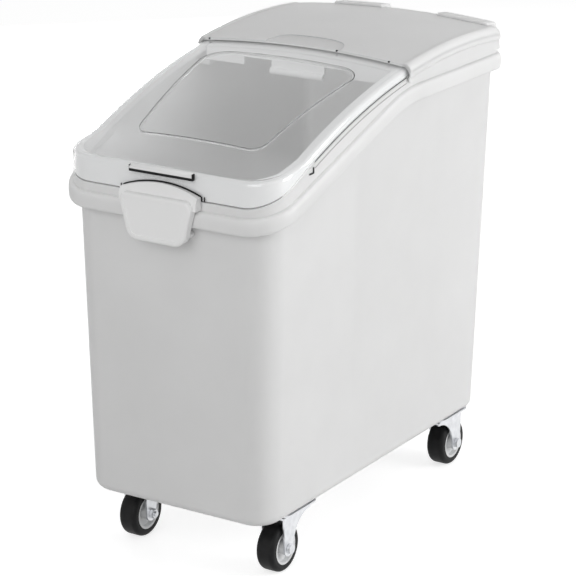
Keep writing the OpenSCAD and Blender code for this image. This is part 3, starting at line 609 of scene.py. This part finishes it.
# Stiffening rib under the lid, round its middle panel: set-in and depth below the sheet
PANEL_BOX = (116.0, -242.0, -4.0, 22.0, 36.0)
PANEL_SIDE_SHARES = np.linspace(0.08, 0.92, 12)
PANEL_FRONT_SHARE = 0.91
PANEL_FLARE_SHARE = 0.26
RIB = ((0.0, -0.02), (0.4, 1.8), (1.0, 2.2), (3.0, 2.2), (3.6, 1.8), (4.0, -0.02))


def panel_ring(d, drop):
    """The panel's outline, which widens towards the rear, at this depth below the lid's top."""
    front, rear = PANEL_BOX[1:3]
    pts = []
    for x, y in outline(inset(PANEL_BOX, d), PANEL_SIDE_SHARES):
        x *= PANEL_FRONT_SHARE + PANEL_FLARE_SHARE * (y - front) / (rear - front)
        pts.append((x, y, lid_top(x, y) - drop))
    return pts


rib = ring_tube("lid_rib", [panel_ring(d, SHEET + depth) for d, depth in RIB])

# Finger tab on the lid's front, in the lighter white copy: painted light
TAB_HW = 53.0
TAB_Z0 = LID_FRONT_Z - 8.0
TAB_Z1 = LID_FRONT_Z - 5.0
TAB_RISE = 3.0
TAB_OUT = 6.0
TAB_IN = 1.4
TAB_ROUND = 0.5
TAB_EASE = 0.8


def tab_section(x, ease):
    y0, y1 = LIP_FRONT - TAB_OUT + ease, LIP_FRONT + TAB_IN
    top = TAB_Z1 - ease
    return [(x, y, z) for y, z in (
        (y1, TAB_Z0), (y0 + TAB_ROUND, TAB_Z0), (y0, TAB_Z0 + TAB_ROUND),
        (y0, top), (y0 + TAB_ROUND, top + TAB_ROUND), (y1, TAB_Z1 + TAB_RISE),
    )]


tab_ends = ((-TAB_HW, TAB_EASE), (-TAB_HW + TAB_EASE, 0), (TAB_HW - TAB_EASE, 0), (TAB_HW, TAB_EASE))
tab = loft("lid_tab", [tab_section(x, ease) for x, ease in tab_ends])

# White seal strip inside the lid's skirt, in the lighter white copy: painted light
SEAL_SIDE = 17.0
SEAL_FRONT = 10.0
SEAL_GAP = 3.3
SEAL_TOP = 3.9
SEAL_ROUND_W = LID_EDGE_R - SEAL_GAP
SEAL_ROUND_H = 4.7


def make_seal():
    """Lines along the strip: inner foot, outer foot, rounded shoulder and inner top."""
    corner_r = LIP_FRONT_R - SEAL_FRONT
    inner = u_outline(LIP_HW - SEAL_SIDE, LID_REAR, LIP_FRONT + SEAL_FRONT, corner_r, LID_SHARES)
    lines = [lid_floor(inner), lid_floor(lid_ring(SEAL_GAP))]
    for a in QUARTER:
        drop = SEAL_TOP + SEAL_ROUND_H * (1 - math.sin(a))
        lines.append(lid_at(LID_EDGE_R - SEAL_ROUND_W * math.cos(a), drop))
    lines.append([(x, y, lid_top(x, y) - SEAL_TOP) for x, y in inner])
    return loft("seal_strip", [list(section) for section in zip(*lines)])


seal = make_seal()

# Painted shadow: black blocks under the finger tab and at its two ends, where its overhang casts shade
SHADE_GAP = 0.1
SHADE_Y = LIP_FRONT - SHADE_GAP
TAB_SHADOW_Z = TAB_Z0 - 3.6
TAB_SHADOW_TOP = TAB_Z0 - 0.05
TAB_SHADOW_OVER = 1.1
TAB_LEFT_W = 0.7
TAB_LEFT_OUT = 5.0
TAB_LEFT_RISE = 2.0
TAB_RIGHT_W = 1.3
lid_painted_shade = [
    block(
        "tab_painted_shadow",
        (-TAB_HW, LIP_FRONT - TAB_OUT, TAB_SHADOW_Z),
        (TAB_HW + TAB_SHADOW_OVER, SHADE_Y, TAB_SHADOW_TOP),
    ),
    block(
        "tab_painted_shadow_left",
        (-TAB_HW - TAB_LEFT_W, LIP_FRONT - TAB_LEFT_OUT, TAB_SHADOW_Z),
        (-TAB_HW - SHADE_GAP, SHADE_Y, TAB_Z1 + TAB_LEFT_RISE),
    ),
    block(
        "tab_painted_shadow_right",
        (TAB_HW + SHADE_GAP, LIP_FRONT - TAB_OUT, TAB_Z0 - SHADE_GAP),
        (TAB_HW + TAB_RIGHT_W, SHADE_Y, TAB_Z1 + TAB_RISE),
    ),
]

# Painted shade: a black strip in the gap behind the handle's arch, with two black ticks at each end
ARCH_HW = 65.0
ARCH_RISE = 12.0
ARCH_TOP = 592.0
ARCH_R = (ARCH_HW ** 2 + ARCH_RISE ** 2) / (2 * ARCH_RISE)
ARCH_STEPS = 27
ARCH_SHADE_Y = LIP_FRONT - 1.4
ARCH_SHADE_LOW = 5.0
ARCH_SHADE_HIGH = 2.0
TICK_X = (66.0, 70.5)
TICK_HW = 0.6
TICK_Z = (574.0, 581.0)


def arch_section(x):
    z = ARCH_TOP - ARCH_R + math.sqrt(ARCH_R ** 2 - x * x)
    return rectangle((x, ARCH_SHADE_Y, z - ARCH_SHADE_LOW), (x, SHADE_Y, z + ARCH_SHADE_HIGH), "x")


def arch_tick(side, x):
    low = (side * x - TICK_HW, ARCH_SHADE_Y, TICK_Z[0])
    high = (side * x + TICK_HW, SHADE_Y, TICK_Z[1])
    return block("arch_tick_%d_%d" % (side, x), low, high)


# Painted shade: black blocks in the notch at each rail's front end, and thin black lines in the gaps along
# the rail and below it
NOTCH_SHADE_T = 0.4
NOTCH_SHADE_Z = 606.6
NOTCH_SHADE_REAR = -217.0
NOTCH_LOW_FRONT = -230.0
NOTCH_LOW_TOP = 609.0
NOTCH_HIGH_FRONT = -220.6
NOTCH_HIGH_TOP = 616.0
SHADE_LINE_RUN = np.linspace(-215, 36, 26)
# Thickness, lower edge and upper edge of each line, the edges measured from the rail's top
RAIL_SHADE_LINE = (0.2, -1.5, -0.1)
LIP_SHADE_LINE = (0.15, -9.4, -8.8)


def side_block(name, side, front, top):
    x0, x1 = sorted((side * LIP_HW, side * (LIP_HW + NOTCH_SHADE_T)))
    return block(name, (x0, front, NOTCH_SHADE_Z), (x1, NOTCH_SHADE_REAR, top))


def side_line(name, side, thick, low, high):
    x0, x1 = sorted((side * LIP_HW, side * (LIP_HW + thick)))
    sections = []
    for y in SHADE_LINE_RUN:
        z0, z1 = arc_at(RAIL_TOP_R + low, y), arc_at(RAIL_TOP_R + high, y)
        sections.append(rectangle((x0, y, z0), (x1, y, z1), "y"))
    return loft(name, sections)


tub_painted_shade = [loft("arch_painted_shade", [arch_section(x) for x in np.linspace(-ARCH_HW, ARCH_HW, ARCH_STEPS)])]
for side in (-1, 1):
    tub_painted_shade += [arch_tick(side, x) for x in TICK_X]
    tub_painted_shade += [
        side_block("notch_shade_low_%d" % side, side, NOTCH_LOW_FRONT, NOTCH_LOW_TOP),
        side_block("notch_shade_high_%d" % side, side, NOTCH_HIGH_FRONT, NOTCH_HIGH_TOP),
        side_line("rail_shade_line_%d" % side, side, *RAIL_SHADE_LINE),
        side_line("lip_shade_line_%d" % side, side, *LIP_SHADE_LINE),
    ]

# Lighter strip over the cover's front edge face: painted light, so that the face reads lit. And small dark
# dots on the joint: painted shade
COVER_LIT_HW = 172.0
COVER_LIT_STEPS = 45
COVER_LIT_Y = (JOINT_Y - 0.7, JOINT_Y + 0.3)
COVER_LIT_LOW = 3.1
COVER_LIT_HIGH = 1.0
DOT_X = (-165.0, 61.0, 150.0)
DOT_HW = 1.4
DOT_Y = (JOINT_Y - 1.0, JOINT_Y + 1.2)
DOT_DEEP = 2.2
DOT_PROUD = 0.15


def lit_strip_section(x):
    z = cover_top(x, JOINT_Y)
    return rectangle((x, COVER_LIT_Y[0], z - COVER_LIT_LOW), (x, COVER_LIT_Y[1], z - COVER_LIT_HIGH), "x")


# Each dot is a small black block: painted shade in a hole of the joint
def painted_shade_dot(i, x):
    z = cover_top(x, JOINT_Y)
    low = (x - DOT_HW, DOT_Y[0], z - DOT_DEEP)
    high = (x + DOT_HW, DOT_Y[1], z + DOT_PROUD)
    return block("seam_dot_%d" % i, low, high)


lit_strip_run = np.linspace(-COVER_LIT_HW, COVER_LIT_HW, COVER_LIT_STEPS)
cover_painted_highlight = loft("cover_painted_highlight", [lit_strip_section(x) for x in lit_strip_run])
cover_shade_dots = [painted_shade_dot(i, x) for i, x in enumerate(DOT_X)]

# Flange along the cross bar's top, below the lid's rib, in the lighter white copy: painted light
FLANGE_R = LID_R - SHEET - 2.9
FLANGE_T = 1.2
FLANGE_HW = 162.0
FLANGE_STEPS = 33
FLANGE_Y = (27.2, 46.0)


def flange_section(x):
    (y0, y1), r = FLANGE_Y, FLANGE_R + crown_at(x)
    z0, z1 = arc_at(r, y0), arc_at(r, y1)
    return [(x, y0, z0 - FLANGE_T), (x, y0, z0), (x, y1, z1), (x, y1, z1 - FLANGE_T)]


bar_flange = loft("bar_flange", [flange_section(x) for x in np.linspace(-FLANGE_HW, FLANGE_HW, FLANGE_STEPS)])

# Thin black line on the lid's top, along the panel's rib: painted shade for the dark edge of the clear rib.
# Set-in and depth of its section's points
PANEL_SHADE_LINE = ((-0.4, 0.1), (-0.4, -0.15), (0.4, -0.15), (0.4, 0.1))
panel_shade_line = ring_tube("panel_shade_line", [panel_ring(d, drop) for d, drop in PANEL_SHADE_LINE])

# Lugs under the cross bar's ends
BAR_LUG_X = ((-179.0, -155.0), (155.0, 179.0))
BAR_LUG_Y = (22.0, 36.0)
BAR_LUG_Z = (671.7, 678.7)


def bar_lug(i, x0, x1):
    return block("bar_lug_%d" % i, (x0, BAR_LUG_Y[0], BAR_LUG_Z[0]), (x1, BAR_LUG_Y[1], BAR_LUG_Z[1]))


tub_parts += [bar_lug(i, *ends) for i, ends in enumerate(BAR_LUG_X)]


# Materials
GRAIN_SCALE = 900.0
GRAIN_HEIGHT = 0.0002
SOFT_DEPTH = 0.005


def nodes_of(name):
    material = bpy.data.materials.new(name)
    material.use_nodes = True
    tree = material.node_tree
    tree.nodes.clear()
    return material, tree, tree.nodes.new("ShaderNodeOutputMaterial")


def principled(tree, rough, metal=0.0, spec=0.5):
    shader = tree.nodes.new("ShaderNodeBsdfPrincipled")
    shader.inputs["Roughness"].default_value = rough
    shader.inputs["Metallic"].default_value = metal
    shader.inputs["Specular IOR Level"].default_value = spec
    return shader


def noise(tree, scale, detail=3.0):
    coordinates = tree.nodes.new("ShaderNodeTexCoord")
    texture = tree.nodes.new("ShaderNodeTexNoise")
    texture.inputs["Scale"].default_value = scale
    texture.inputs["Detail"].default_value = detail
    tree.links.new(coordinates.outputs["Object"], texture.inputs["Vector"])
    return texture.outputs["Fac"]


def ramp(tree, value, low, high, start=0.3, end=0.7):
    node = tree.nodes.new("ShaderNodeValToRGB")
    for element, position, colour in zip(node.color_ramp.elements, (start, end), (low, high)):
        element.position = position
        element.color = (*colour, 1)
    tree.links.new(value, node.inputs["Fac"])
    return node.outputs["Color"]


def bump(tree, height, strength, distance):
    node = tree.nodes.new("ShaderNodeBump")
    node.inputs["Strength"].default_value = strength
    node.inputs["Distance"].default_value = distance
    tree.links.new(height, node.inputs["Height"])
    return node.outputs["Normal"]


def highest(tree, *values):
    """The largest of several shader values."""
    total = values[0]
    for value in values[1:]:
        node = tree.nodes.new("ShaderNodeMath")
        node.operation = "MAXIMUM"
        tree.links.new(total, node.inputs[0])
        tree.links.new(value, node.inputs[1])
        total = node.outputs["Value"]
    return total


def plain(name, low, high, rough, metal=0.0, spec=0.5, scale=40.0, grain=0.1, soft=0.0):
    """A moulded or plated finish: slow colour variation and fine grain. With soft, light sinks in."""
    material, tree, out = nodes_of(name)
    shader = principled(tree, rough, metal, spec)
    tree.links.new(ramp(tree, noise(tree, scale), low, high), shader.inputs["Base Color"])
    grain_height = noise(tree, GRAIN_SCALE, detail=2.0)
    tree.links.new(bump(tree, grain_height, grain, GRAIN_HEIGHT), shader.inputs["Normal"])
    if soft:
        shader.inputs["Subsurface Weight"].default_value = soft
        shader.inputs["Subsurface Radius"].default_value = (1.0, 1.0, 1.0)
        shader.inputs["Subsurface Scale"].default_value = SOFT_DEPTH
    tree.links.new(shader.outputs["BSDF"], out.inputs["Surface"])
    return material


def clear_plastic():
    """Clear moulded sheet: it bends what is seen through it, and lets lamp light straight through."""
    material, tree, out = nodes_of("clear_plastic")
    shader = principled(tree, rough=0.03)
    shader.inputs["Base Color"].default_value = (0.985, 0.988, 0.99, 1)
    shader.inputs["Transmission Weight"].default_value = 0.91
    shader.inputs["IOR"].default_value = 1.5
    waves = noise(tree, scale=14.0, detail=1.0)
    tree.links.new(bump(tree, waves, strength=0.05, distance=0.002), shader.inputs["Normal"])
    through = tree.nodes.new("ShaderNodeBsdfTransparent")
    through.inputs["Color"].default_value = (0.97, 0.973, 0.975, 1)
    path = tree.nodes.new("ShaderNodeLightPath")
    lamp = highest(tree, path.outputs["Is Shadow Ray"], path.outputs["Is Diffuse Ray"])
    mix = tree.nodes.new("ShaderNodeMixShader")
    tree.links.new(lamp, mix.inputs["Fac"])
    tree.links.new(shader.outputs["BSDF"], mix.inputs[1])
    tree.links.new(through.outputs["BSDF"], mix.inputs[2])
    tree.links.new(mix.outputs["Shader"], out.inputs["Surface"])
    return material


WHITE = plain(
    "white_plastic", (0.80, 0.80, 0.798), (0.83, 0.83, 0.828),
    rough=0.42, spec=0.45, scale=9.0, grain=0.05, soft=1.0,
)
ZINC = plain(
    "zinc_steel", (0.62, 0.63, 0.65), (0.74, 0.75, 0.77),
    rough=0.3, metal=1.0, scale=120.0, grain=0.04,
)
GREY = plain("grey_plastic", (0.56, 0.565, 0.575), (0.62, 0.625, 0.635), rough=0.4, scale=60.0)
RUBBER = plain(
    "black_rubber", (0.006, 0.006, 0.0065), (0.011, 0.011, 0.0115),
    rough=0.5, spec=0.16, scale=80.0,
)
HUB = plain("hub_plastic", (0.72, 0.725, 0.73), (0.78, 0.785, 0.79), rough=0.4, scale=60.0)
# A lighter copy of the white plastic, with no light sinking in: painted light for faces that catch more light
# from above
WHITE_PAINTED_LIGHT = plain("white_painted_light", (0.91, 0.91, 0.908), (0.93, 0.93, 0.928), rough=0.35, scale=9.0, grain=0.03)
CLEAR = clear_plastic()
SLOTS = {
    "white_plastic": WHITE,
    "zinc_steel": ZINC,
    "grey_plastic": GREY,
    "black_rubber": RUBBER,
    "clear_plastic": CLEAR,
}


def paint(ob, material):
    ob.data.materials.clear()
    ob.data.materials.append(material)


for subpart in frame["record"]["subparts"]:
    paint(frame["nodes"][subpart["node"]], SLOTS[subpart["material_slot"]])
# The handle plate and the cross bar take the lighter white copy: painted light
for name in ("handle_plate", "cross_bar"):
    paint(frame["nodes"][name], WHITE_PAINTED_LIGHT)
for corner in ("fl", "fr", "rl", "rr"):
    paint(frame["nodes"]["wheel_hub_" + corner], HUB)

# Each row: pieces, material, the record's slot and the body that carries them. Rows in the lighter white copy
# carry painted light, and the black rubber and grey marks carry painted shade
WORN = (
    ([tub_shell, *tub_parts], WHITE, "white_plastic", "tub"),
    ([bar_flange], WHITE_PAINTED_LIGHT, "white_plastic", "tub"),
    ([cover_shell, *cover_parts, *beads], WHITE, "white_plastic", "cover"),
    ([scoop_shade_line], GREY, "grey_plastic", "cover"),
    ([cover_painted_highlight], WHITE_PAINTED_LIGHT, "white_plastic", "cover"),
    (cover_shade_dots, RUBBER, "black_rubber", "cover"),
    ([lid_shell, rib], CLEAR, "clear_plastic", "lid"),
    ([seal, tab], WHITE_PAINTED_LIGHT, "white_plastic", "lid"),
    ([panel_shade_line, *lid_painted_shade], RUBBER, "black_rubber", "lid"),
    (tub_painted_shade, RUBBER, "black_rubber", "tub"),
)
for pieces, material, slot, body in WORN:
    for piece in pieces:
        paint(piece, material)
        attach(piece, body)
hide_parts("tub")
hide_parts("rear_cover")
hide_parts("front_lid")
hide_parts("lid_seal")

# Stage, in metres: floor, world, lamps and camera
FLOOR_HALF = 30.0
FLOOR_GREY = 0.6
FLOOR_LIFT = 0.7
WORLD_LEVEL = 0.44
# Each lamp: place, the height of the point on the axis that it faces, size and power
LAMPS = {
    "key": ((3.0, 1.2, 1.25), 0.4, 2.0, 57.0),
    "fill": ((0.5, -2.7, 1.5), 0.4, 2.0, 22.0),
    "back": ((-2.6, 2.6, 0.36), 0.36, 0.65, 38.0),
}
CAMERA_AZIMUTH = math.radians(32.505)
CAMERA_ELEVATION = math.radians(17.804)
CAMERA_DISTANCE = 3.8207
CAMERA_TARGET = Vector((-0.00017, 0.00031, 0.3506))
CAMERA_LENS = 157.46
CAMERA_SENSOR = 36.0


def seen_directly(tree):
    """1 for what is seen, also in a mirror or through glass, and 0 for light that falls on the object."""
    path = tree.nodes.new("ShaderNodeLightPath")
    return highest(tree, *(path.outputs["Is %s Ray" % kind] for kind in ("Camera", "Glossy", "Transmission")))


def floor_material():
    """Grey and matt, and lifted towards white where it is seen directly. It keeps a soft shadow."""
    material, tree, out = nodes_of("floor")
    diffuse = tree.nodes.new("ShaderNodeBsdfDiffuse")
    diffuse.inputs["Color"].default_value = (FLOOR_GREY, FLOOR_GREY, FLOOR_GREY, 1)
    lift = tree.nodes.new("ShaderNodeMath")
    lift.operation = "MULTIPLY"
    lift.inputs[1].default_value = FLOOR_LIFT
    tree.links.new(seen_directly(tree), lift.inputs[0])
    glow = tree.nodes.new("ShaderNodeEmission")
    tree.links.new(lift.outputs["Value"], glow.inputs["Strength"])
    both = tree.nodes.new("ShaderNodeAddShader")
    tree.links.new(diffuse.outputs["BSDF"], both.inputs[0])
    tree.links.new(glow.outputs["Emission"], both.inputs[1])
    tree.links.new(both.outputs["Shader"], out.inputs["Surface"])
    return material


def make_floor():
    h = FLOOR_HALF
    me = bpy.data.meshes.new("floor")
    me.from_pydata([(-h, -h, 0), (h, -h, 0), (h, h, 0), (-h, h, 0)], [], [(0, 1, 2, 3)])
    floor = bpy.data.objects.new("floor", me)
    scene.collection.objects.link(floor)
    paint(floor, floor_material())


def make_world():
    """White where it is seen directly, and plain soft light on the object."""
    world = bpy.data.worlds.new("studio")
    scene.world = world
    world.use_nodes = True
    tree = world.node_tree
    level = tree.nodes.new("ShaderNodeMapRange")
    level.inputs["To Min"].default_value = WORLD_LEVEL
    level.inputs["To Max"].default_value = 1.0
    tree.links.new(seen_directly(tree), level.inputs["Value"])
    background = tree.nodes["Background"]
    background.inputs["Color"].default_value = (1, 1, 1, 1)
    tree.links.new(level.outputs["Result"], background.inputs["Strength"])


def place(name, data, location, facing):
    """Adds a lamp or camera that looks along this direction."""
    ob = bpy.data.objects.new(name, data)
    ob.location = location
    ob.rotation_euler = facing.to_track_quat("-Z", "Y").to_euler()
    scene.collection.objects.link(ob)
    return ob


def make_lamp(name, location, target_z, size, power):
    lamp = bpy.data.lights.new(name, "AREA")
    lamp.shape = "SQUARE"
    lamp.size = size
    lamp.energy = power
    place(name, lamp, location, Vector((0, 0, target_z)) - Vector(location))


def make_camera():
    az, el = CAMERA_AZIMUTH, CAMERA_ELEVATION
    back = Vector((math.sin(az) * math.cos(el), -math.cos(az) * math.cos(el), math.sin(el)))
    camera = bpy.data.cameras.new("camera")
    camera.lens = CAMERA_LENS
    camera.sensor_width = CAMERA_SENSOR
    scene.camera = place("camera", camera, CAMERA_TARGET + back * CAMERA_DISTANCE, -back)


make_floor()
make_world()
for lamp_name, lamp in LAMPS.items():
    make_lamp(lamp_name, *lamp)
make_camera()
scene.view_settings.view_transform = "Standard"
